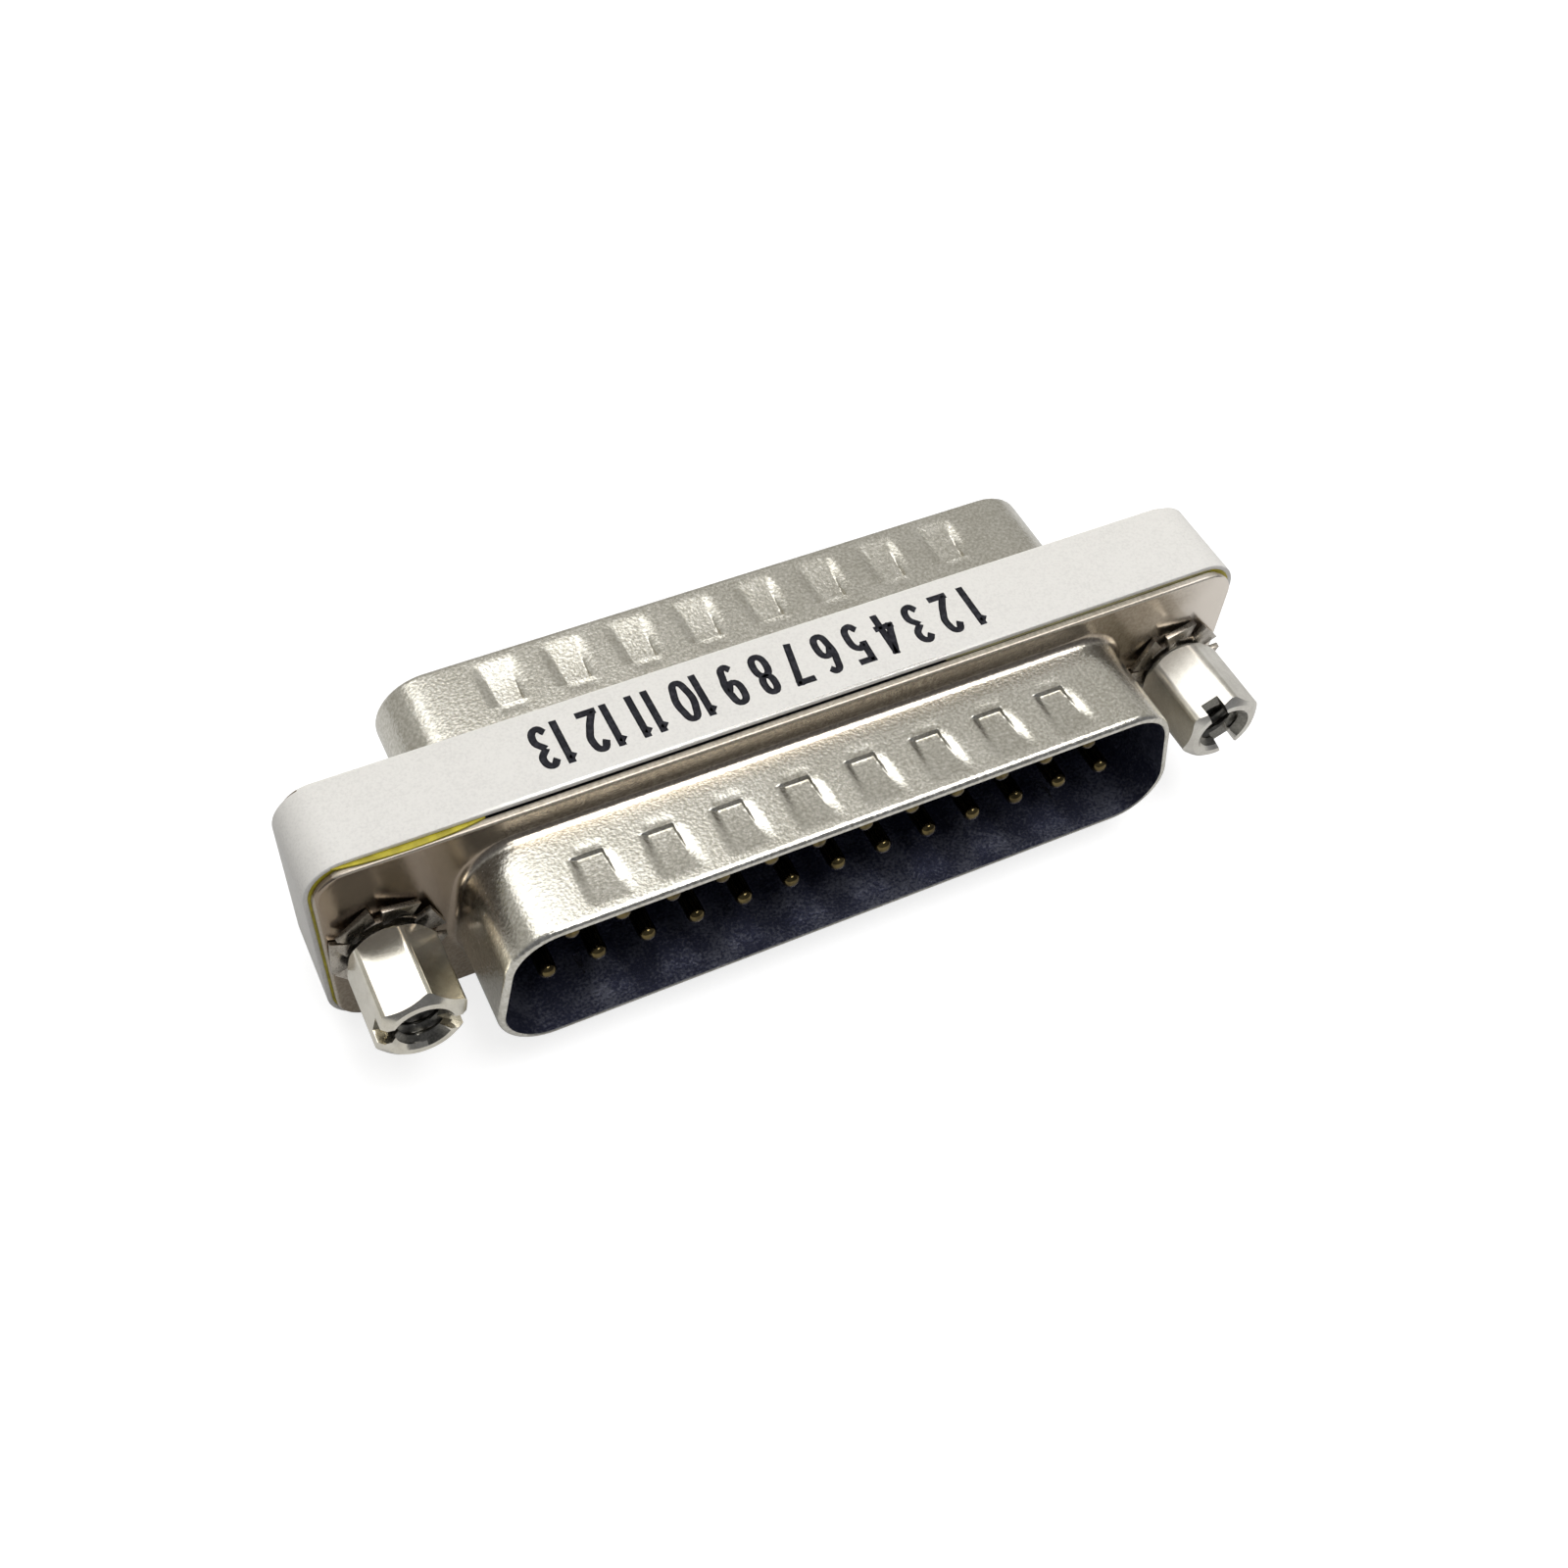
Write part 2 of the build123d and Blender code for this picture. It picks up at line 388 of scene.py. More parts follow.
class Recipe:
    """Builds one node tree, for a material or for the world."""

    def __init__(self, tree: bpy.types.NodeTree) -> None:
        """Empties the tree."""
        self.tree = tree
        self.tree.nodes.clear()

    def node(
        self, kind: str, settings: Mapping[str, Any], values: Mapping[Any, Any]
    ) -> bpy.types.Node:
        """Adds a node of any kind.

        Args:
            kind: the node's type.
            settings: its properties, set before its sockets.
            values: numbers, colours or wires for its input sockets.

        Returns:
            The node.
        """
        node = self.tree.nodes.new(kind)
        for key, value in settings.items():
            setattr(node, key, value)
        for key, value in values.items():
            if isinstance(value, Wire):
                self.tree.links.new(value.socket, node.inputs[key])
            else:
                node.inputs[key].default_value = value
        return node

    def wire(
        self, kind: str, settings: Mapping[str, Any], values: Mapping[Any, Any], output: int = 0
    ) -> Wire:
        """Adds a node of any kind and hands on one of its outputs."""
        return Wire(self, self.node(kind, settings, values).outputs[output])

    def place(self) -> Wire:
        """Object coordinates in millimetres."""
        source = Wire(self, self.node("ShaderNodeTexCoord", {}, {}).outputs["Object"])
        values = {0: source, "Scale": 1 / MM}
        return self.wire("ShaderNodeVectorMath", {"operation": "SCALE"}, values)

    def parts(self, vector: Wire) -> list[Wire]:
        """Splits a vector into its three values."""
        node = self.node("ShaderNodeSeparateXYZ", {}, {0: vector})
        return [Wire(self, socket) for socket in node.outputs]

    def noise(
        self,
        place: Wire,
        scale: float,
        stretch: Triple = (1.0, 1.0, 1.0),
        detail: float = 2.0,
        shift: float = 0.0,
    ) -> Wire:
        """Noise value around one half.

        Args:
            place: coordinates.
            scale: waves in each millimetre.
            stretch: how much denser it is along each axis.
            detail: finer layers.
            shift: moves the pattern, so that two layers differ.

        Returns:
            The noise value.
        """
        moved = {"Vector": place, "Scale": stretch, "Location": grey(shift)}
        mapped = self.wire("ShaderNodeMapping", {}, moved)
        values = {"Vector": mapped, "Scale": scale, "Detail": detail, "Roughness": 0.55}
        return self.wire("ShaderNodeTexNoise", {}, values)

    def blend(self, factor: Number, first: Any, second: Any) -> Wire:
        """Mixes two colours.

        Args:
            factor: 0 for the first, 1 for the second.
            first: colour or wire.
            second: colour or wire.

        Returns:
            The mixed colour.
        """
        sides = [(*side, 1.0) if isinstance(side, tuple) else side for side in (first, second)]
        settings = {"data_type": "RGBA", "clamp_factor": True}
        return self.wire("ShaderNodeMix", settings, {0: factor, 6: sides[0], 7: sides[1]}, 2)

    def bump(self, height: Wire, rise: float) -> Wire:
        """Surface normal moved by a height, of which 1 stands for a rise in millimetres."""
        values = {"Height": height, "Distance": rise * MM, "Strength": 1.0}
        return self.wire("ShaderNodeBump", {}, values)

    def rays(self) -> tuple[Wire, Wire]:
        """Whether the camera sees a spot, and whether metal or glass does.

        Returns:
            Two values that are 0 or 1.
        """
        path = self.node("ShaderNodeLightPath", {}, {}).outputs
        kinds = ("Camera", "Glossy", "Transmission")
        seen, glossy, clear = (Wire(self, path[f"Is {kind} Ray"]) for kind in kinds)
        return seen, glossy.at_least(clear)

    def surface(self, shader: Wire, kind: str = "ShaderNodeOutputMaterial") -> None:
        """Joins a shader to the output node."""
        self.node(kind, {}, {0: shader})

    def principled(self, values: Mapping[str, Any]) -> None:
        """Ends the recipe in one Principled shader with these sockets."""
        self.surface(self.wire("ShaderNodeBsdfPrincipled", {}, values))


@dataclass(frozen=True)
class Finish:
    """One finish; each kind fills in its own recipe."""

    name: str = "finish"

    def material(self) -> bpy.types.Material:
        """Makes the material once and hands back the same one later."""
        made = bpy.data.materials.get(self.name)
        if made is None:
            made = bpy.data.materials.new(self.name)
            made.use_nodes = True
            self.mix(Recipe(made.node_tree))
        return made

    def mix(self, recipe: Recipe) -> None:
        """Fills the recipe."""
        raise NotImplementedError


@dataclass(frozen=True)
class SatinPlate(Finish):
    """Satin plate over drawn steel, finely rough on the wall and smoother on the flange. The flange
    is painted a darker brown than the wall as painted shade, darkest at its left end, with painted
    light at its right end and on the rear flange's rim.
    """

    name: str = "satin_plate"
    light: Colour = (0.79, 0.765, 0.70)
    deep: Colour = (0.56, 0.535, 0.46)
    # painted shade: the flange's two tones are a darker brown than the wall, standing in for its
    # dark reflection; grain moves between them
    flange: Colour = (0.50, 0.43, 0.34)
    flange_deep: Colour = (0.36, 0.30, 0.235)
    # painted light: the flange's right end is painted paler
    flange_end: Colour = (0.84, 0.77, 0.69)
    # painted shade: darker brown on the flange's left end, above the axis, near the screw
    tarnish: Colour = (0.34, 0.275, 0.21)
    # painted light: the rear flange's rim is painted off-white and not metallic, over its dark edge
    # line
    overspray: Colour = (0.80, 0.78, 0.74)
    wall_y: Span = (3.05, 3.5)
    overspray_y: Span = (1.0, 2.0)
    pale_x: Span = (22.0, 27.5)
    tarnish_x: Span = (17.0, 22.5)
    tarnish_z: Span = (-3.0, 3.5)
    edge_in: float = 0.16
    edge_blur: float = 0.05
    grain_scale: float = 5.5
    grain_rise: float = 0.015
    wave_scale: float = 2.2
    wave_rise: float = 0.006

    def mix(self, recipe: Recipe) -> None:
        """Fills the recipe."""
        place = recipe.place()
        x, y, z = recipe.parts(place)
        wall = abs(y).ramp(*self.wall_y)
        edges = ((x, FLANGE_W / 2 - self.edge_in), (z - AXIS_Z, FLANGE_H / 2 - self.edge_in))
        ends, sides = (abs(way).ramp(edge, edge + self.edge_blur) for way, edge in edges)
        rim = ends.at_least(sides)
        # painted light mask: the rim of the rear flange only
        painted = rim * y.ramp(*self.overspray_y)
        grain = recipe.noise(place, self.grain_scale)
        streak = recipe.noise(place, 1.1, (5.0, 1.0, 5.0), 3.0, 4.0)
        cloud = recipe.noise(place, 0.35, detail=1.0, shift=9.0)
        wave = recipe.noise(place, self.wave_scale, (1.3, 0.9, 1.3), 2.0, 6.0)
        tone = (grain * 0.9 + streak * 0.1 + cloud * 0.25).ramp(0.40, 0.84)
        plate = recipe.blend(tone, self.deep, self.light)
        # painted shade mask: the flange's left end above the axis, with cloudy edges
        shade_mask = (0.0 - x + cloud * 4.0).ramp(*self.tarnish_x)
        shade_mask = shade_mask * (z - AXIS_Z + streak * 4.0).ramp(*self.tarnish_z)
        blotch = (grain * 0.6 + streak * 0.4).ramp(0.35, 0.65)
        # flange colour: grain over a painted-shade brown, eased towards the plate at the rim, with
        # painted light at the right end and painted shade at the left end
        flange_light_and_shade = recipe.blend(blotch, self.flange_deep, self.flange)
        # painted light: paler towards the flange's right end
        flange_light_and_shade = recipe.blend((x + cloud * 3.0).ramp(*self.pale_x), flange_light_and_shade, self.flange_end)
        dull = recipe.blend(shade_mask, flange_light_and_shade, self.tarnish)
        metal = recipe.blend(wall.at_least(rim * 0.35), dull, plate)
        height = (grain + wave * (self.wave_rise / self.grain_rise)) * (wall * 0.75 + 0.25)
        recipe.principled({
            "Base Color": recipe.blend(painted, metal, self.overspray),
            "Metallic": 1.0 - painted,
            "Roughness": 0.17 + wall * 0.03 + rim * 0.22 + grain * 0.1,
            "Normal": recipe.bump(height, self.grain_rise),
        })


@dataclass(frozen=True)
class InnerPlate(Finish):
    """Plate inside a shell, painted dark with a blue cast: painted shade inside the shell and the
    painted reflection of the moulding.
    """

    name: str = "shaded_inner_plate"
    # painted shade and painted reflection: dark and blue, for the shade inside the shell and the
    # moulding seen in it
    light: Colour = (0.27, 0.28, 0.35)
    deep: Colour = (0.08, 0.086, 0.145)

    def mix(self, recipe: Recipe) -> None:
        """Fills the recipe."""
        place = recipe.place()
        speck = recipe.noise(place, 6.0, detail=3.0)
        haze = recipe.noise(place, 0.45, shift=4.0)
        tone = (speck * 0.7 + haze * 0.6).ramp(0.55, 0.82)
        recipe.principled({
            "Base Color": recipe.blend(tone, self.deep, self.light),
            "Metallic": 0.85,
            "Roughness": 0.34 + speck * 0.1,
            "Normal": recipe.bump(speck, 0.02),
        })


@dataclass(frozen=True)
class Nickel(Finish):
    """Nickel plate on turned or stamped steel, frosted towards its seat if wanted."""

    name: str = "bright_nickel_plate"
    light: Colour = (0.78, 0.755, 0.69)
    deep: Colour = (0.60, 0.57, 0.49)
    roughness: float = 0.12
    wave_rise: float = 0.002
    frost: float = 0.0
    frost_y: Span = (4.6, 7.2)

    def mix(self, recipe: Recipe) -> None:
        """Fills the recipe."""
        place = recipe.place()
        wave = recipe.noise(place, 1.3)
        pit = recipe.noise(place, 9.0, shift=3.0)
        frost = (1.0 - abs(recipe.parts(place)[1]).ramp(*self.frost_y)) * self.frost
        tone = (wave * 0.6 + pit * 0.5).ramp(0.35, 0.75)
        recipe.principled({
            "Base Color": recipe.blend(tone, self.deep, self.light),
            "Metallic": 1.0 - frost,
            "Roughness": self.roughness + pit * 0.09,
            "Normal": recipe.bump(wave * 0.8 + pit * 0.25, self.wave_rise),
        })


SCREW_NICKEL = Nickel(
    "screw_nickel_plate", (0.84, 0.80, 0.70), (0.70, 0.66, 0.56), 0.13, 0.002, 0.12
)
WORN_NICKEL = Nickel("worn_nickel_plate", (0.80, 0.775, 0.71), (0.66, 0.63, 0.57), 0.30, 0.004, 0.2)
# painted shade: a dark copy of the nickel for the tapped bore
SHADED_THREAD = Nickel("shaded_thread", (0.26, 0.25, 0.22), (0.12, 0.115, 0.10), 0.26, 0.003)
DULL_NICKEL = Nickel("dull_nickel_plate", (0.52, 0.48, 0.42), (0.30, 0.27, 0.23), 0.24, 0.003)


@dataclass(frozen=True)
class BandPaint(Finish):
    """Matt off-white paint with fine specks and a bare silver line near its front edge."""

    name: str = "off_white_paint"
    paint: Colour = (0.80, 0.78, 0.74)
    speck: Colour = (0.71, 0.69, 0.655)
    silver: Colour = (0.72, 0.70, 0.67)
    bare_from: Span = (2.30, 2.33)
    bare_to: Span = (2.44, 2.48)
    bare_left: Span = (-18.0, -12.0)
    bare_right: Span = (8.0, 16.0)

    def mix(self, recipe: Recipe) -> None:
        """Fills the recipe."""
        place = recipe.place()
        fleck = recipe.noise(place, 7.0, detail=3.0)
        smudge = recipe.noise(place, 0.5, shift=5.0)
        ragged = recipe.noise(place, 2.0, detail=3.0, shift=2.0)
        x, y, _ = recipe.parts(place)
        front = (ragged - 0.5) * 0.08 - y
        along = x + ragged * 3.0
        bare = front.ramp(*self.bare_from) * (1.0 - front.ramp(*self.bare_to))
        bare = bare * along.ramp(*self.bare_left) * (1.0 - along.ramp(*self.bare_right))
        paint = recipe.blend((fleck * 0.8 + smudge * 0.2).ramp(0.4, 0.75), self.paint, self.speck)
        recipe.principled({
            "Base Color": recipe.blend(bare, paint, self.silver),
            "Metallic": bare,
            "Roughness": 0.52 - bare * 0.27,
            "Normal": recipe.bump(fleck, 0.004),
        })


@dataclass(frozen=True)
class YellowPassivate(Finish):
    """Yellow passivated strip behind the band."""

    name: str = "yellow_passivate"
    light: Colour = (0.60, 0.52, 0.035)
    deep: Colour = (0.40, 0.335, 0.02)

    def mix(self, recipe: Recipe) -> None:
        """Fills the recipe."""
        cloud = recipe.noise(recipe.place(), 1.2, detail=3.0)
        recipe.principled({
            "Base Color": recipe.blend(cloud.ramp(0.35, 0.7), self.deep, self.light),
            "Roughness": 0.4 + cloud * 0.15,
        })


# painted shade: a darker, olive copy of the yellow lining for its right end
SHADED_PASSIVATE = YellowPassivate("shaded_passivate", (0.36, 0.33, 0.16), (0.26, 0.24, 0.11))


@dataclass(frozen=True)
class Moulding(Finish):
    """Near-black moulded plastic with a faint blue cast."""

    name: str = "navy_moulding"
    deep: Colour = (0.009, 0.012, 0.030)
    light: Colour = (0.022, 0.027, 0.055)

    def mix(self, recipe: Recipe) -> None:
        """Fills the recipe."""
        place = recipe.place()
        spark = recipe.noise(place, 5.0, detail=3.0)
        flow = recipe.noise(place, 0.8, (2.0, 0.5, 1.0), 2.0, 6.0)
        tone = (spark * 0.5 + flow * 0.6).ramp(0.4, 0.75)
        recipe.principled({
            "Base Color": recipe.blend(tone, self.deep, self.light),
            "Roughness": 0.38 + spark * 0.15,
            "Normal": recipe.bump(spark * 0.6 + flow * 0.4, 0.008),
        })


@dataclass(frozen=True)
class GoldFlash(Finish):
    """Thin gold over turned brass pins, painted far darker than bright gold as painted shade inside
    the shell.
    """

    name: str = "gold_flash"
    # painted shade: both tones are far darker than gold, for the pins' shade inside the shell
    light: Colour = (0.17, 0.13, 0.055)
    deep: Colour = (0.07, 0.053, 0.025)

    def mix(self, recipe: Recipe) -> None:
        """Fills the recipe."""
        place = recipe.place()
        wear = recipe.noise(place, 2.2, detail=3.0)
        lathe = recipe.noise(place, 3.0, (0.5, 5.0, 0.5), 2.0, 7.0)
        recipe.principled({
            "Base Color": recipe.blend(wear.ramp(0.3, 0.65), self.deep, self.light),
            "Metallic": 1.0,
            "Roughness": 0.08 + wear * 0.12,
            "Normal": recipe.bump(lathe, 0.002),
        })


@dataclass(frozen=True)
class Ink(Finish):
    """Black print with a slightly thin, uneven coat."""

    name: str = "black_print"
    deep: Colour = (0.008, 0.008, 0.013)
    thin: Colour = (0.030, 0.030, 0.038)

    def mix(self, recipe: Recipe) -> None:
        """Fills the recipe."""
        coat = recipe.noise(recipe.place(), 3.5, detail=3.0)
        recipe.principled({
            "Base Color": recipe.blend(coat.ramp(0.45, 0.7), self.deep, self.thin),
            "Roughness": 0.5 + coat * 0.1,
            "Specular IOR Level": 0.2,
        })


@dataclass(frozen=True)
class WhiteFloor(Finish):
    """Table that keeps shadows; the camera sees it white, and metal sees a little of that white."""

    name: str = "white_table"
    colour: float = 0.62
    mirror_glow: float = 0.10
    seen_colour: float = 0.48
    seen_glow: float = 0.775

    def mix(self, recipe: Recipe) -> None:
        """Fills the recipe."""
        seen, mirror = recipe.rays()
        glow = recipe.blend(mirror, grey(0.0), grey(self.mirror_glow))
        recipe.principled({
            "Base Color": recipe.blend(seen, grey(self.colour), grey(self.seen_colour)),
            "Roughness": 0.9,
            "Specular IOR Level": 0.0,
            "Emission Color": recipe.blend(seen, glow, grey(self.seen_glow)),
            "Emission Strength": 1.0,
        })


def finish_piece(
    obj: Piece,
    finish: Finish,
    replaced: Sequence[str] = (),
    smooth: Optional[float] = 32.0,
) -> Piece:
    """Brings a piece to metres, shades it, dresses it and ties it to the frame.

    Args:
        obj: the piece, in millimetres.
        finish: its finish.
        replaced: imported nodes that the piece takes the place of.
        smooth: angle in degrees above which an edge stays sharp, or None for flat faces.

    Returns:
        The same piece.
    """
    obj.location = obj.location * MM
    obj.scale = obj.scale * MM
    apply_place(obj)
    if smooth is not None:
        bpy.ops.object.shade_smooth_by_angle(angle=radians(smooth))
    obj.data.materials.clear()
    obj.data.materials.append(finish.material())
    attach(obj, BODY)
    if replaced:
        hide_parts(*replaced)
    log.info("%s: %d faces, %s", obj.name, len(obj.data.polygons), finish.name)
    return obj


# The connector's own pieces


@dataclass(frozen=True)
class Dimple:
    """Ramp pressed into the sheet: sharp and deep at the flange end, level at the rim end."""

    start: float = 5.35
    length: float = 3.0
    depth: float = 0.24
    early: float = 0.4
    floor: float = 0.62
    widening: float = 0.05
    soft: float = 0.6
    crisp: float = 0.06
    crisp_until: float = 2.0
    step: float = 0.12
    inner_floor: float = 0.52
    inner_soft: float = 1.0
    inner_lead: float = 0.55
    inner_step: float = 0.6
    swell: float = 0.03
    swell_lead: float = 0.42
    swell_run: float = 0.22
    swell_half: float = 0.4

    def press(self, across: float, along: float, dent: Dent) -> float:
        """How far the sheet is pressed in.

        Args:
            across: distance from the dimple's middle line, along X.
            along: depth of the point, from the band's middle.
            dent: side of the sheet.

        Returns:
            Distance inwards, in millimetres.
        """
        run = along - self.start
        ahead = max(0.0, run)
        hard = max(0.0, 1.0 - ahead / self.crisp_until) if across > 0 else 0.0
        across = abs(across) - ahead * self.widening
        share = ahead / self.length
        ramp = self.depth * max(0.0, 1.0 - share * (self.early + (1.0 - self.early) * share))
        if dent is Dent.INSIDE:
            side = 1.0 - ease((across - self.inner_floor) / self.inner_soft)
            return ramp * ease((run + self.inner_lead) / self.inner_step) * side
        steep = 1.0 - ease((across - self.floor) / self.crisp)
        gentle = 1.0 - ease((across - self.floor) / self.soft)
        side = hard * steep + (1.0 - hard) * gentle
        rise = exp(-(((run + self.swell_lead) / self.swell_run) ** 2))
        rise *= 1.0 - ease((across - self.swell_half) / self.soft)
        return ramp * ease((run + self.step) / self.step) * side - self.swell * rise


@dataclass
class PlugShell:
    """One drawn plug shell: flange, D-shaped wall with dimples, rounded lip and screw holes.

    The rows of numbers place its points: close to its edges, across a dimple, along the wall's
    outside from the dimple's start, and back along its inside.
    """

    facing: Facing
    sheet: float = 0.4
    inner_w: float = 38.96
    inner_h: float = 8.36
    corner_r: float = 2.6
    slant: float = 10.0
    flange_r: float = 1.9
    flange_edge_r: float = 0.12
    back: float = 2.55
    rim: float = 9.05
    root_r: float = 0.55
    inner_root_r: float = 0.75
    lip_r: float = 0.34
    lip_in: float = 0.05
    back_row: float = 0.04
    edge_row: float = 0.02
    face_rows: Span = (0.15, 0.2)
    rim_rows: Span = (0.05, 0.08)
    back_inset: float = 0.2
    inner_slope: float = 0.6
    screw_x: float = 23.52
    hole_r: float = 1.55
    drill_length: float = 8.0
    dimple: Dimple = field(default_factory=Dimple)
    dimple_pitch: float = 3.8
    dimple_count: int = 8
    across: tuple[float, ...] = (
        0.0, 0.28, 0.5, 0.62, 0.655, 0.69, 0.75, 0.83, 0.92, 1.01, 1.1, 1.2, 1.35, 1.6, 1.9
    )
    outside: tuple[float, ...] = (
        -1.3, -0.95, -0.75, -0.6, -0.48, -0.36, -0.24, -0.14, -0.11, -0.08, -0.05, -0.02, 0.0,
        0.06, 0.16, 0.3, 0.46, 0.62, 0.8, 1.0, 1.2, 1.45, 1.7, 1.95, 2.25, 2.55, 2.8, 3.0, 3.15
    )
    inside: tuple[float, ...] = (
        3.1, 2.8, 2.4, 2.0, 1.6, 1.2, 0.8, 0.4, 0.1, -0.1, -0.25, -0.4, -0.6, -0.9
    )

    @property
    def name(self) -> str:
        """Name of the shell's side and kind."""
        return "front_shell" if self.facing is Facing.FRONT else "rear_shell"

    @property
    def nodes(self) -> list[str]:
        """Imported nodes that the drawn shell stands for: its wall and its flange."""
        return [self.name, self.name.replace("shell", "flange")]

    def dimple_places(self) -> list[float]:
        """Middle of each dimple along X."""
        half = (self.dimple_count - 1) / 2
        return [(i - half) * self.dimple_pitch for i in range(self.dimple_count)]

    def around(
        self, right: list[Station], height: float, spread: float, flat: bool
    ) -> list[Station]:
        """Whole outline from its right side.

        Args:
            right: stations of the right side, from the bottom up.
            height: height of the long sides over the axis.
            spread: how much wider the long sides' points stand than on the wall.
            flat: whether dimples may be pressed there.

        Returns:
            For each station its X, its height over the axis and whether it lies on a long side.
        """
        offsets = [side * o for o in self.across for side in (-1, 1)]
        columns = sorted({round(x + o, 4) for x in self.dimple_places() for o in offsets})
        left = [(-x, z, side) for x, z, side in reversed(right)]
        top = [(x * spread, height, flat) for x in reversed(columns)]
        return right + top + left + [(x * spread, -height, flat) for x in columns]

    def outline(self, growth: float) -> list[Station]:
        """D outline with its wide side down.

        Args:
            growth: distance outside the shell's inner face.

        Returns:
            Its stations.
        """
        drop = self.inner_h / 2 - self.corner_r
        low_x = self.inner_w / 2 - self.corner_r
        high_x = low_x - 2 * drop * tan(radians(self.slant))
        radius = self.corner_r + growth
        low = corner(low_x, -drop, radius, steps(-90.0, self.slant, 14))
        high = corner(high_x, drop, radius, steps(self.slant, 90.0, 12))
        between = zip(*(steps(low[-1][i], high[0][i], 4)[1:-1] for i in (0, 1)))
        side = [(x, z, False) for x, z in between]
        return self.around(low + side + high, self.inner_h / 2 + growth, 1.0, True)

    def plate(self, inset: float) -> list[Station]:
        """The flange's outline, station by station as on the D outline.

        Args:
            inset: distance inside the flange's edge.

        Returns:
            Its stations.
        """
        turn = self.flange_r - inset
        far_x = FLANGE_W / 2 - self.flange_r
        far_z = FLANGE_H / 2 - self.flange_r
        side = [(FLANGE_W / 2 - inset, far_z * f, False) for f in (-0.5, 0.0, 0.5)]
        low = corner(far_x, -far_z, turn, steps(-90.0, 0.0, 14))
        high = corner(far_x, far_z, turn, steps(0.0, 90.0, 12))
        spread = far_x / (self.dimple_places()[-1] + self.across[-1] + 1.0)
        return self.around(low + side + high, FLANGE_H / 2 - inset, spread, False)

    def ring(self, stations: list[Station], depth: float, dent: Dent) -> Ring:
        """Turns stations into points, with the dimples pressed in.

        Args:
            stations: outline stations.
            depth: distance from the band's middle.
            dent: side of the sheet that the ring lies on.

        Returns:
            The points.
        """
        points = []
        for x, z, flat in stations:
            if flat and dent is not Dent.NONE:
                nearest = min((x - middle for middle in self.dimple_places()), key=abs)
                z -= copysign(self.dimple.press(nearest, depth, dent), z)
            points.append(Vector((x, self.facing.value * depth, AXIS_Z - self.facing.value * z)))
        return points

    def rings(self) -> list[Ring]:
        """All rings, from the flange's back edge round the sheet and back to it."""
        made: list[Ring] = []

        def flange(inset: float, depth: float) -> None:
            """Adds one ring on the flange's outline."""
            made.append(self.ring(self.plate(inset), depth, Dent.NONE))

        def wall(growth: float, depth: float, dent: Dent = Dent.NONE) -> None:
            """Adds one ring on the D outline."""
            made.append(self.ring(self.outline(growth), depth, dent))

        front = self.back + self.sheet
        edge = self.flange_edge_r
        start = self.dimple.start
        quarter = [radians(turn) for turn in steps(0.0, 90.0, 6)]
        for depth in (self.back, self.back + self.back_row, front - edge - self.edge_row):
            flange(0.0, depth)
        for turn in quarter[::2]:
            flange(edge * (1 - cos(turn)), front - edge * (1 - sin(turn)))
        flange(edge + self.face_rows[0], front)
        wall(self.sheet + self.root_r + self.face_rows[1], front)
        for turn in quarter:
            wall(self.sheet + self.root_r * (1 - sin(turn)), front + self.root_r * (1 - cos(turn)))
        for along in self.outside:
            wall(self.sheet, start + along, Dent.OUTSIDE)
        wall(self.sheet, self.rim - self.lip_r - self.rim_rows[0])
        for turn in quarter:
            wall(self.sheet - self.lip_r * (1 - cos(turn)), self.rim - self.lip_r * (1 - sin(turn)))
        wall(self.lip_in, self.rim)
        wall(0.0, self.rim - self.lip_in)
        wall(0.0, self.rim - self.lip_in - self.rim_rows[1])
        for along in self.inside:
            wall(0.0, start + along, Dent.INSIDE)
        for turn in quarter:
            rise = self.inner_root_r * (1 - sin(turn))
            wall(self.inner_root_r * (1 - cos(turn)), self.back + rise)
        flange(self.back_inset, self.back)
        flange(0.0, self.back)
        return made

    def build(self) -> Piece:
        """Models the shell and dresses it.

        Returns:
            The finished piece.
        """
        piece = lofted(f"drawn_{self.name}", self.rings(), merge=1e-5)
        for x in (-self.screw_x, self.screw_x):
            drill = turned("drill", [(self.hole_r, 0.0), (self.hole_r, self.drill_length)], 48)
            stand(drill, x, -self.drill_length / 2)
            combine(piece, drill, Cut.AWAY)
        finish_piece(piece, SatinPlate(), self.nodes)
        self.line_inside(piece)
        return piece

    def line_inside(self, piece: Piece) -> None:
        """Gives the wall's inner face a dark material as painted shade inside the shell.

        Args:
            piece: the finished shell.
        """
        piece.data.materials.append(InnerPlate().material())
        highest = (self.inner_h / 2 + self.lip_in) * MM
        for face in piece.data.polygons:
            inwards = Vector((0.0, 0.0, AXIS_Z * MM)) - face.center
            inwards.y = 0.0
            deep = abs(face.center.y) > self.back * MM and abs(inwards.z) < highest
            if deep and abs(face.normal.y) < self.inner_slope and face.normal.dot(inwards) > 0.0:
                face.material_index = 1


@dataclass(frozen=True)
class PenStroke:
    """One stroke of a digit, on a cell one wide and one high."""

    points: tuple[Span, ...]
    curved: bool = True
    closed: bool = False

    def turned_over(self) -> "PenStroke":
        """The same stroke on a digit that stands on its head."""
        points = tuple((1.0 - x, 1.0 - y) for x, y in self.points)
        return PenStroke(points, self.curved, self.closed)


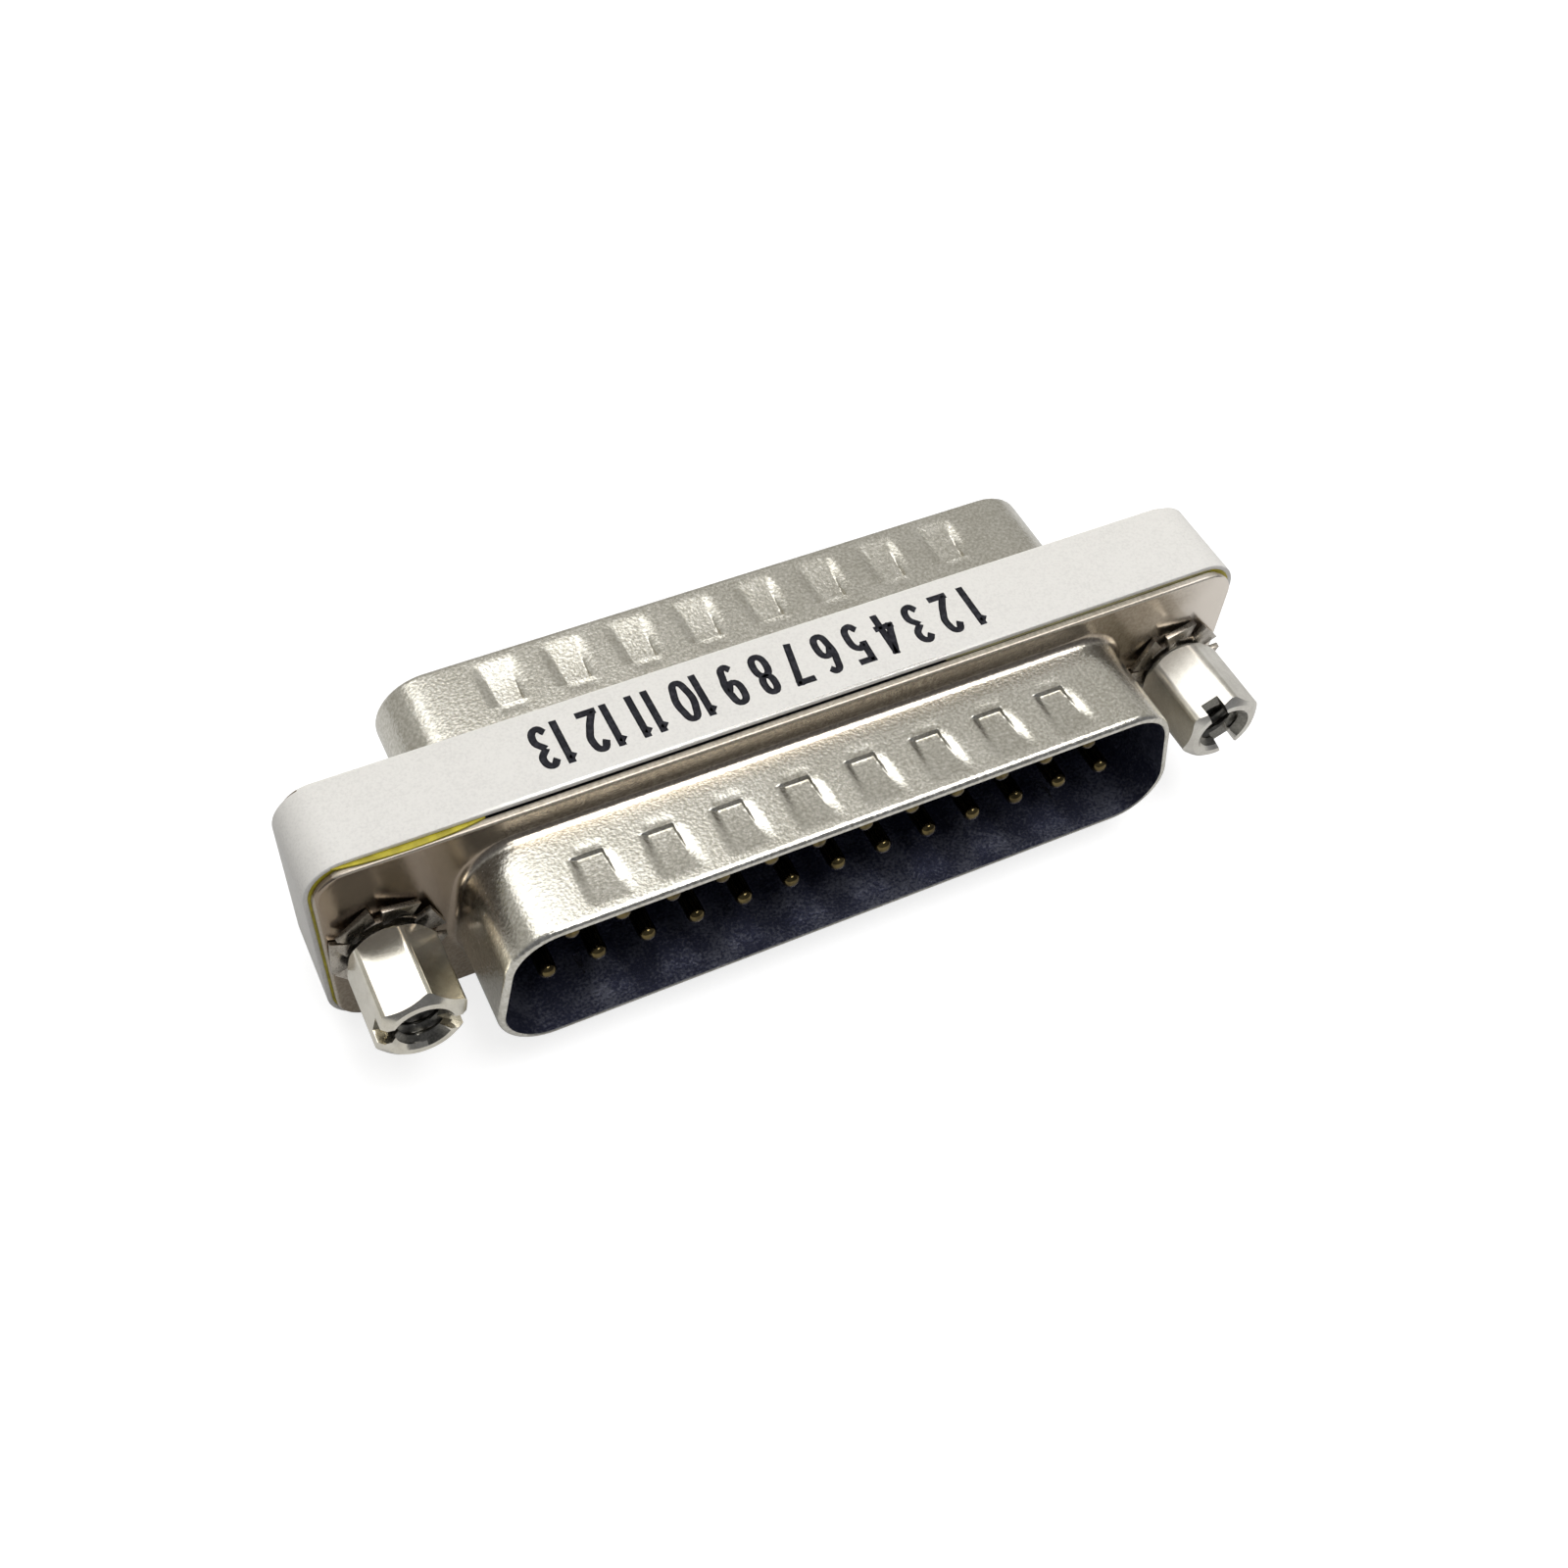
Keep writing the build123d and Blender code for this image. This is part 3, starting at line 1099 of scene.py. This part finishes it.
SIX = PenStroke((
    (0.9, 0.9), (0.5, 1.0), (0.06, 0.72), (0.0, 0.3),
    (0.5, 0.0), (1.0, 0.3), (0.55, 0.56), (0.02, 0.36),
))
DIGITS: dict[str, tuple[PenStroke, ...]] = {
    "0": (
        PenStroke(
            ((0.5, 1.0), (0.0, 0.75), (0.0, 0.25), (0.5, 0.0), (1.0, 0.25), (1.0, 0.75)),
            closed=True,
        ),
    ),
    "1": (
        PenStroke(((0.0, 0.84), (0.38, 0.96))),
        PenStroke(((0.38, 1.0), (0.38, 0.0)), curved=False),
    ),
    "2": (
        PenStroke(((0.0, 0.8), (0.5, 1.0), (1.0, 0.74), (0.7, 0.4), (0.0, 0.0))),
        PenStroke(((0.0, 0.0), (1.0, 0.0)), curved=False),
    ),
    "3": (
        PenStroke(((0.0, 0.86), (0.5, 1.0), (0.95, 0.78), (0.4, 0.54))),
        PenStroke(((0.4, 0.54), (1.0, 0.28), (0.5, 0.0), (0.0, 0.14))),
    ),
    "4": (PenStroke(((0.75, 0.0), (0.75, 1.0), (0.0, 0.3), (1.0, 0.3)), curved=False),),
    "5": (
        PenStroke(((0.92, 1.0), (0.1, 1.0), (0.04, 0.56)), curved=False),
        PenStroke(((0.04, 0.56), (0.55, 0.64), (1.0, 0.32), (0.5, 0.0), (0.0, 0.14))),
    ),
    "6": (SIX,),
    "7": (PenStroke(((0.0, 1.0), (1.0, 1.0), (0.35, 0.0)), curved=False),),
    "8": (
        PenStroke(((0.5, 0.54), (0.08, 0.77), (0.5, 1.0), (0.92, 0.77)), closed=True),
        PenStroke(((0.5, 0.54), (0.0, 0.27), (0.5, 0.0), (1.0, 0.27)), closed=True),
    ),
    "9": (SIX.turned_over(),),
}


@dataclass
class Band:
    """Painted strip bent round the flanges, with plain numerals printed on its top."""

    width: float = 53.898
    height: float = 13.36
    length: float = 5.0
    corner_r: float = 2.3
    sheet: float = 0.27
    edge_r: float = 0.05
    print_room: float = 0.008
    print_left: float = -14.0
    print_right: float = 11.6
    print_low: float = -1.3
    print_high: float = 1.6
    last_number: int = 13
    pen: float = 0.4
    digit_w: float = 1.1
    digit_gap: float = 0.22

    @property
    def top(self) -> float:
        """Height of the painted top, just under the print."""
        return self.height - self.print_room

    def build_strip(self) -> Piece:
        """Models the strip from a block with rounded corners and open ends.

        Returns:
            The finished piece.
        """
        piece = block("painted_band", (self.width, self.length, self.top), (0.0, 0.0, self.top / 2))
        bpy.ops.object.mode_set(mode="EDIT")
        pick(lambda edge: abs(edge.verts[0].co.y - edge.verts[1].co.y) > self.length / 2, "EDGE")
        bpy.ops.mesh.bevel(offset=self.corner_r, segments=14, affect="EDGES")
        pick(lambda face: abs(face.normal.y) > 0.9)
        bpy.ops.mesh.delete(type="FACE")
        bpy.ops.object.mode_set(mode="OBJECT")
        wall = {"thickness": self.sheet, "offset": -1.0, "use_even_offset": True}
        apply_modifier(piece, "SOLIDIFY", wall)
        soften(piece, self.edge_r, 3, 60.0)
        return finish_piece(piece, BandPaint(), ["outer_band"])

    def digit_width(self, digit: str) -> float:
        """Width of one digit over its strokes."""
        share = max(x for stroke in DIGITS[digit] for x, _ in stroke.points)
        return share * (self.digit_w - self.pen) + self.pen

    def number_width(self, number: str) -> float:
        """Width of a number over its digits and the gaps between them."""
        return sum(self.digit_width(digit) + self.digit_gap for digit in number) - self.digit_gap

    def build_print(self) -> Piece:
        """Draws the numerals as a very thin raised print, upside down as seen from the front.

        Returns:
            The finished piece.
        """
        deselect()
        bpy.ops.curve.primitive_bezier_curve_add(location=(0.0, 0.0, 0.0))
        bpy.context.object.name = "band_numerals"
        line = bpy.context.object.data
        line.splines.clear()
        line.bevel_depth = self.pen / 2
        line.bevel_resolution = 1
        line.resolution_u = 6
        line.use_fill_caps = True
        numbers = [str(number) for number in range(1, self.last_number + 1)]
        used = sum(self.number_width(number) for number in numbers)
        room = self.print_right - self.print_left - used
        right = self.print_right
        for number in numbers:
            for digit in number:
                self.draw_digit(line, digit, right)
                right -= self.digit_width(digit) + self.digit_gap
            right += self.digit_gap - room / (len(numbers) - 1)
        bpy.ops.object.convert(target="MESH")
        piece = bpy.context.object
        piece.data.name = piece.name
        piece.scale = (1.0, 1.0, self.print_room * 0.75 / self.pen)
        piece.location = (0.0, 0.0, self.top + self.print_room * 0.3)
        apply_place(piece)
        return finish_piece(piece, Ink(), smooth=None)

    def draw_digit(self, line: bpy.types.Curve, digit: str, right: float) -> None:
        """Adds one digit's strokes, turned half round so that it hangs from the front edge.

        Args:
            line: the curve that takes the strokes.
            digit: which digit.
            right: where the digit starts along X; it runs to the left from there.
        """
        half = self.pen / 2
        wide = self.digit_w - self.pen
        tall = self.print_high - self.print_low - self.pen
        left, high = right - half, self.print_high - half
        for stroke in DIGITS[digit]:
            knots = [Vector((left - x * wide, high - y * tall, 0.0)) for x, y in stroke.points]
            if stroke.curved:
                self.draw_line(line, knots, "AUTO", stroke.closed)
                continue
            for start, end in zip(knots, knots[1:]):
                past = (end - start).normalized() * half
                self.draw_line(line, [start - past, end + past], "VECTOR", False)

    def draw_line(
        self, line: bpy.types.Curve, points: list[Vector], handle: str, closed: bool
    ) -> None:
        """Adds one pen line through some points.

        Args:
            line: the curve that takes it.
            points: where it runs.
            handle: how it turns at its points.
            closed: whether it runs back to its first point.
        """
        path = line.splines.new("BEZIER")
        path.bezier_points.add(len(points) - 1)
        path.use_cyclic_u = closed
        for knot, point in zip(path.bezier_points, points):
            knot.co = point
            knot.handle_left_type = knot.handle_right_type = handle


@dataclass
class LiningEdge:
    """Sliver of the lining that lies over the front flange's edge near one end of the band."""

    side: str
    start: float
    end: float
    reach: float
    finish: YellowPassivate
    depth: float = 2.5
    cover: float = 0.2
    heights: Span = (6.30, 6.40)
    bulge: float = 0.7
    tip_share: float = 0.01
    count: int = 24

    def section(self, share: float) -> Ring:
        """Cross-section of the sliver, part of the way along.

        Args:
            share: 0 at its start and 1 at its end.

        Returns:
            Its four corners.
        """
        x = self.start + (self.end - self.start) * share
        front = -self.depth - self.reach * sin(pi * share) ** self.bulge
        back = self.cover - self.depth
        low, high = (AXIS_Z + height for height in self.heights)
        corners = ((back, low), (front, low), (front, high), (back, high))
        return [Vector((x, y, z)) for y, z in corners]

    def build(self) -> Piece:
        """Models the sliver.

        Returns:
            The finished piece.
        """
        shares = steps(self.tip_share, 1.0 - self.tip_share, self.count)
        piece = lofted(f"lining_edge_{self.side}", [self.section(share) for share in shares])
        return finish_piece(piece, self.finish, smooth=40.0)


@dataclass
class Jackscrew:
    """Hexagon standoff with a slotted threaded end, and a stud through both flanges."""

    side: str
    x: float
    slot_turn: float
    finish: Nickel
    edge_r: float
    wear_r: float
    seat: float = 3.65
    length: float = 5.1
    flats: float = 4.4
    seat_bevel: float = 0.6
    seat_r: float = 1.95
    bevel: float = 0.42
    end_r: float = 1.98
    slot_w: float = 1.05
    slot_depth: float = 0.95
    bore_depth: float = 4.0
    bore_r: float = 1.42
    mouth: float = 0.3
    mouth_slope: Triple = (0.4, 0.6, 0.1)
    overrun: float = 0.3
    stud_r: float = 1.4
    stud_root_r: float = 1.12
    stud_end: float = 5.05
    stud_thread: float = 1.9
    stud_tip: float = 0.2

    @property
    def name(self) -> str:
        """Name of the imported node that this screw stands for."""
        return f"jackscrew_{self.side}"

    def hexagon(self, depth: float) -> Ring:
        """Rounded hexagon round the screw's axis at a depth."""
        centre_r = (self.flats / 2 - self.edge_r) / cos(radians(30))
        first = self.slot_turn + 30.0
        points = []
        for turn in steps(first, first + 300.0, 5):
            x, y = centre_r * cos(radians(turn)), centre_r * sin(radians(turn))
            arc = corner(x, y, self.edge_r, steps(turn - 30.0, turn + 30.0, 6))
            points += [Vector((x, y, depth)) for x, y, _ in arc]
        return points

    def build(self) -> Piece:
        """Models the screw along local Z from its seat, then stands it on its flange.

        Returns:
            The finished piece.
        """
        corner_r = self.flats / 2 / cos(radians(30))
        piece = lofted(f"slotted_{self.name}", [self.hexagon(0.0), self.hexagon(self.length)])
        profile = [(self.seat_r, 0.0), (corner_r, self.seat_bevel)]
        profile += [(corner_r, self.length - self.bevel), (self.end_r, self.length)]
        combine(piece, turned("turned_ends", profile, 120), Cut.KEEP)
        size = (2 * self.flats, self.slot_w, 2 * self.slot_depth)
        blade = block("blade", size, (0.0, 0.0, self.length))
        blade.rotation_euler = (0.0, 0.0, radians(self.slot_turn))
        combine(piece, blade, Cut.AWAY)
        narrow, deep, past = self.mouth_slope
        mouth = [
            (self.bore_r - narrow, self.length - deep),
            (self.bore_r + self.mouth, self.length + past),
        ]
        combine(piece, turned("mouth", mouth), Cut.AWAY)
        soften(piece, self.wear_r, 3, 38.0)
        # The stud joins before the thread is tapped: joined to a tapped body it can get lost.
        combine(piece, self.stud(), Cut.JOIN)
        bottom, top = self.length - self.bore_depth, self.length + self.overrun
        tap = Thread(crest_r=self.bore_r).body("tap", bottom, top)
        combine(piece, tap, Cut.AWAY)
        stand(piece, self.x, self.seat)
        finish_piece(piece, self.finish, [self.name], smooth=28.0)
        apply_modifier(piece, "WEIGHTED_NORMAL", {"keep_sharp": True})
        self.darken_thread(piece)
        return piece

    def darken_thread(self, piece: Piece) -> None:
        """Gives the tapped bore a dark copy of the nickel, as painted shade in the bore.

        Args:
            piece: the finished screw.
        """
        piece.data.materials.append(SHADED_THREAD.material())
        for face in piece.data.polygons:
            across = hypot(face.center.x - self.x * MM, face.center.z - AXIS_Z * MM)
            if across < self.bore_r * MM and face.center.y < -self.seat * MM:
                face.material_index = 1

    def stud(self) -> Piece:
        """Stud with a thread on its free end, along local -Z.

        Returns:
            The stud, in the screw's own place.
        """
        tip = self.seat + self.stud_end
        thread = Thread(crest_r=self.stud_r, root_r=self.stud_root_r)
        rod = thread.body("stud", 0.0, self.stud_thread, self.stud_tip)
        activate(rod)
        bpy.ops.object.mode_set(mode="EDIT")
        pick(lambda face: face.normal.z < -0.9 and face.calc_center_median().z < 0.01)
        drop = (0.0, 0.0, self.stud_thread - tip - self.overrun)
        bpy.ops.mesh.extrude_region_move(TRANSFORM_OT_translate={"value": drop})
        bpy.ops.object.mode_set(mode="OBJECT")
        rod.rotation_euler = (pi, 0.0, 0.0)
        rod.location = (0.0, 0.0, self.stud_thread - tip)
        apply_place(rod)
        return rod


@dataclass
class LockWasher:
    """Ring with broad twisted teeth, held between the flange and the jackscrew."""

    side: str
    x: float
    first_tooth: float
    depth: float = 3.3
    thickness: float = 0.3
    hole_r: float = 1.525
    ring_r: float = 2.15
    tip_r: float = 2.92
    root_w: float = 1.5
    tip_w: float = 2.15
    twist: float = 8.0
    teeth: int = 7
    edge_r: float = 0.03
    punch: float = 2.0

    @property
    def name(self) -> str:
        """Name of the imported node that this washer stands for."""
        return f"lock_washer_{self.side}"

    def tooth(self, number: int) -> Piece:
        """One tooth, from a block whose outer end is widened, twisted about its own length.

        Args:
            number: which tooth, from 0.

        Returns:
            The tooth, in the washer's own place.
        """
        inner_r = (self.hole_r + self.ring_r) / 2
        run = self.tip_r - inner_r
        tooth = block("tooth", (run, self.root_w, self.thickness), (inner_r + run / 2, 0.0, 0.0))
        bpy.ops.object.mode_set(mode="EDIT")
        pick(lambda face: face.normal.x > 0.9)
        bpy.ops.transform.resize(value=(1.0, self.tip_w / self.root_w, 1.0))
        bpy.ops.object.mode_set(mode="OBJECT")
        turn = radians(self.first_tooth + number * 360 / self.teeth)
        tooth.rotation_euler = (radians(self.twist), 0.0, turn)
        apply_place(tooth)
        return tooth

    def build(self) -> Piece:
        """Models the washer flat, softens its edges and stands it on its flange.

        Returns:
            The finished piece.
        """
        half = self.thickness / 2
        piece = turned(f"toothed_{self.name}", [(self.ring_r, -half), (self.ring_r, half)])
        for number in range(self.teeth):
            combine(piece, self.tooth(number), Cut.JOIN)
        punch = turned("punch", [(self.hole_r, -self.punch), (self.hole_r, self.punch)])
        combine(piece, punch, Cut.AWAY)
        soften(piece, self.edge_r, 2, 40.0)
        stand(piece, self.x, self.depth)
        return finish_piece(piece, DULL_NICKEL, [self.name])


@dataclass(frozen=True)
class PackedNodes:
    """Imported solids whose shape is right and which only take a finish."""

    insulators: tuple[str, ...] = ("front_insulator", "rear_insulator")
    bright: tuple[str, ...] = ("rear_nut_left", "rear_nut_right", "spacer_left", "spacer_right")
    contacts: int = 25

    def dress(self) -> None:
        """Gives every kept node its finish."""
        wanted: dict[str, Finish] = {"band_lining": YellowPassivate()}
        wanted.update({name: Moulding() for name in self.insulators})
        wanted.update({name: Nickel() for name in self.bright})
        wanted.update({f"contact_{i:02d}": GoldFlash() for i in range(1, self.contacts + 1)})
        for name, finish in wanted.items():
            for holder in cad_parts[name].material_slots:
                holder.material = finish.material()
            log.info("%s: packed shape, %s", name, finish.name)


# The studio


@dataclass(frozen=True)
class SoftBox:
    """One soft oval area lamp, aimed at the part."""

    name: str
    place: Triple
    width: float
    height: float
    power: float

    def build(self) -> None:
        """Adds the lamp."""
        data = bpy.data.lights.new(self.name, "AREA")
        data.shape = "ELLIPSE"
        data.size = self.width
        data.size_y = self.height
        data.energy = self.power
        lamp = bpy.data.objects.new(self.name, data)
        bpy.context.scene.collection.objects.link(lamp)
        lamp.location = self.place
        aim = Vector((0.0, 0.0, AXIS_Z * MM)) - lamp.location
        lamp.rotation_euler = aim.to_track_quat("-Z", "Y").to_euler()


@dataclass(frozen=True)
class Studio:
    """Floor, light and camera."""

    eye: Triple = (-32.119, -55.773, 86.993)
    eye_turn: Triple = (37.538, -3.264, -26.048)
    lens: float = 43.07
    sensor: float = 36.0
    nearest: float = 0.001
    floor_size: float = 3.0
    floor_drop: float = 0.00002
    boxes: tuple[SoftBox, ...] = (
        SoftBox("key_box", (-0.02, 0.130, 0.41), 0.26, 0.26, 0.385),
        SoftBox("side_box", (-0.16, 0.22, 0.34), 0.15, 0.15, 0.115),
        SoftBox("front_box", (0.12, -0.08, 0.42), 0.42, 0.20, 1.12),
    )
    front_tone: Colour = (0.125, 0.13, 0.145)
    back_tone: Colour = (0.43, 0.425, 0.40)
    tone_y: Span = (-0.45, 0.45)
    mirror_share: float = 0.045

    def build(self) -> None:
        """Sets the whole stage."""
        self.floor()
        self.world()
        for box in self.boxes:
            box.build()
        self.camera()
        bpy.context.scene.view_settings.view_transform = "Standard"

    def floor(self) -> None:
        """Adds the white table just under the part."""
        deselect()
        place = (0.0, 0.0, -self.floor_drop)
        bpy.ops.mesh.primitive_plane_add(size=self.floor_size, location=place)
        table = bpy.context.object
        table.name = table.data.name = "table"
        table.data.materials.append(WhiteFloor().material())

    def world(self) -> None:
        """Room light, dim in front; the camera sees white, and metal sees a little of it."""
        world = bpy.data.worlds.new("room")
        world.use_nodes = True
        bpy.context.scene.world = world
        recipe = Recipe(world.node_tree)
        way = Wire(recipe, recipe.node("ShaderNodeTexCoord", {}, {}).outputs["Generated"])
        depth = recipe.parts(way)[1].ramp(*self.tone_y)
        tone = recipe.blend(depth, self.front_tone, self.back_tone)
        seen, mirror = recipe.rays()
        tone = recipe.blend((mirror * self.mirror_share).at_least(seen), tone, grey(1.0))
        light = recipe.wire("ShaderNodeBackground", {}, {"Color": tone, "Strength": 1.0})
        recipe.surface(light, "ShaderNodeOutputWorld")

    def camera(self) -> None:
        """Adds the camera where the photograph was taken from."""
        data = bpy.data.cameras.new("camera")
        data.lens = self.lens
        data.sensor_width = self.sensor
        data.clip_start = self.nearest
        camera = bpy.data.objects.new("camera", data)
        bpy.context.scene.collection.objects.link(camera)
        camera.location = Vector(self.eye) * MM
        camera.rotation_euler = Euler([radians(a) for a in self.eye_turn])
        bpy.context.scene.camera = camera


def main() -> None:
    """Builds every piece in order, then the studio."""
    PackedNodes().dress()
    band = Band()
    makers: list[Callable[[], Piece]] = [
        PlugShell(Facing.FRONT).build,
        PlugShell(Facing.REAR).build,
        band.build_strip,
        band.build_print,
        LiningEdge("left", -25.4, -17.5, 0.36, YellowPassivate()).build,
        LiningEdge("right", 8.0, 25.3, 0.045, SHADED_PASSIVATE).build,
        Jackscrew("left", -23.52, -14.0, SCREW_NICKEL, edge_r=0.42, wear_r=0.11).build,
        Jackscrew("right", 23.52, -65.5, WORN_NICKEL, edge_r=0.6, wear_r=0.13).build,
        LockWasher("left", -23.52, 70.0).build,
        LockWasher("right", 23.52, 40.0).build,
    ]
    for make in makers:
        make()
    Studio().build()
    deselect()


if __name__ == "__main__":
    main()
